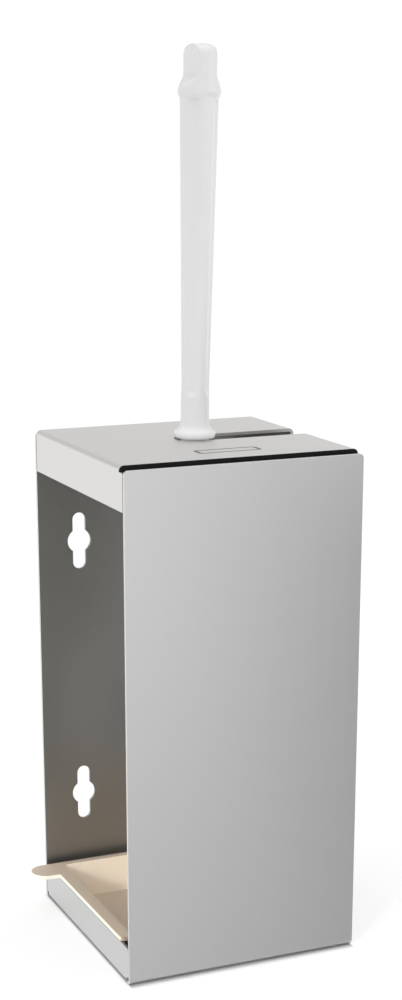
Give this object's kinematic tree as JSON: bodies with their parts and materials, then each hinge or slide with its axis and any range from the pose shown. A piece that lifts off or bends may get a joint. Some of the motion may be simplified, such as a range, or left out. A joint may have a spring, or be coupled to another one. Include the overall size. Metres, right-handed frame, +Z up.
{
  "type": "toilet brush holder",
  "caption": "Upright folded-steel toilet brush holder, open at both sides, with a slotted top that a brush hangs in and slides out of, keyholed back and lift-out drip tray.",
  "frame": {"origin": "centre of the housing's flat bottom face", "axes": "+Z up, -Y to the front panel, +Y to the wall behind, +X to the right, where the top slot opens"},
  "size_m": [0.1327, 0.122, 0.4306],
  "materials": {
    "housing_steel": "fine satin brushed stainless sheet",
    "cover_steel": "fine satin brushed stainless sheet",
    "tray_plastic": "satin moulded beige plastic",
    "handle_plastic": "glossy white moulded plastic",
    "core_plastic": "white moulded plastic",
    "bristles": "white nylon bristle tufts"
  },
  "bodies": {
    "housing": {"wrap_shell": "housing_steel", "top_cover": "cover_steel"},
    "tray": {"drip_tray": "tray_plastic"},
    "brush": {"brush_handle": "handle_plastic", "brush_core": "core_plastic", "bristle_end": "bristles", "bristle_row_1": "bristles", "bristle_row_2": "bristles", "bristle_row_3": "bristles", "bristle_row_4": "bristles", "bristle_row_5": "bristles", "bristle_row_6": "bristles", "bristle_row_7": "bristles"}
  },
  "joints": [
    {"name": "brush_slide", "type": "slide", "parent": "housing", "child": "brush", "axis": [1, 0, 0], "range_m": [0, 0.095]},
    {"name": "tray_lift", "type": "slide", "parent": "housing", "child": "tray", "axis": [0, 0, 1], "range_m": [0, 0.02]}
  ]
}
